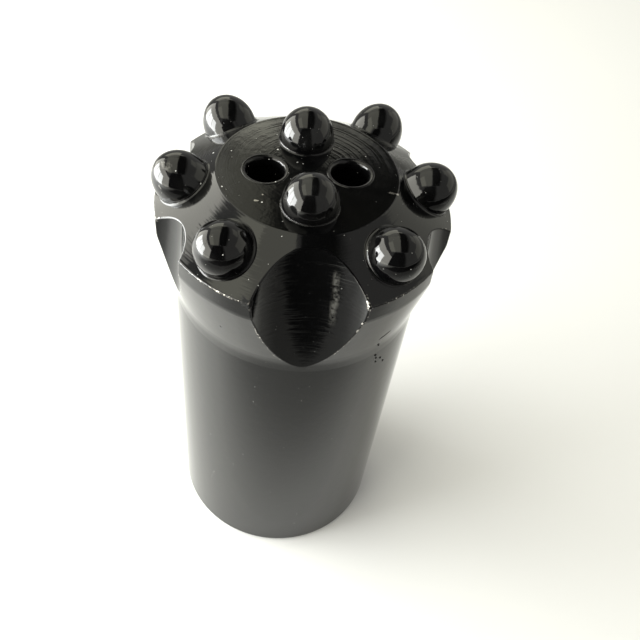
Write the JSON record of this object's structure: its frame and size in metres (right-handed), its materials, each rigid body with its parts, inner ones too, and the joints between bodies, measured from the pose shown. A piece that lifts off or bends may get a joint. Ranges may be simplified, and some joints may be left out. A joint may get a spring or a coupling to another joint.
{
  "type": "button drill bit",
  "caption": "Rock drill bit with a plain cylindrical skirt, a tapered rod socket and a fluted, flared head set with domed carbide buttons around flushing holes, lacquered black.",
  "frame": {"origin": "centre of the skirt's open end, in the plane that the bit stands on", "axes": "+Z along the bit's axis from the socket's mouth to the button face; the wide flutes face -Y and +Y, and the flushing holes lie on -X and +X"},
  "size_m": [0.0384, 0.0358, 0.0743],
  "materials": {
    "body_lacquer": "thin gloss black lacquer over turned and milled steel, tool marks showing",
    "button_lacquer": "thin gloss black lacquer over ground tungsten carbide"
  },
  "bodies": {
    "root": {"bit_body": "body_lacquer", "face_button_front": "button_lacquer", "face_button_rear": "button_lacquer", "gauge_button_front_left": "button_lacquer", "gauge_button_front_right": "button_lacquer", "gauge_button_right": "button_lacquer", "gauge_button_rear_right": "button_lacquer", "gauge_button_rear_left": "button_lacquer", "gauge_button_left": "button_lacquer"}
  },
  "joints": []
}
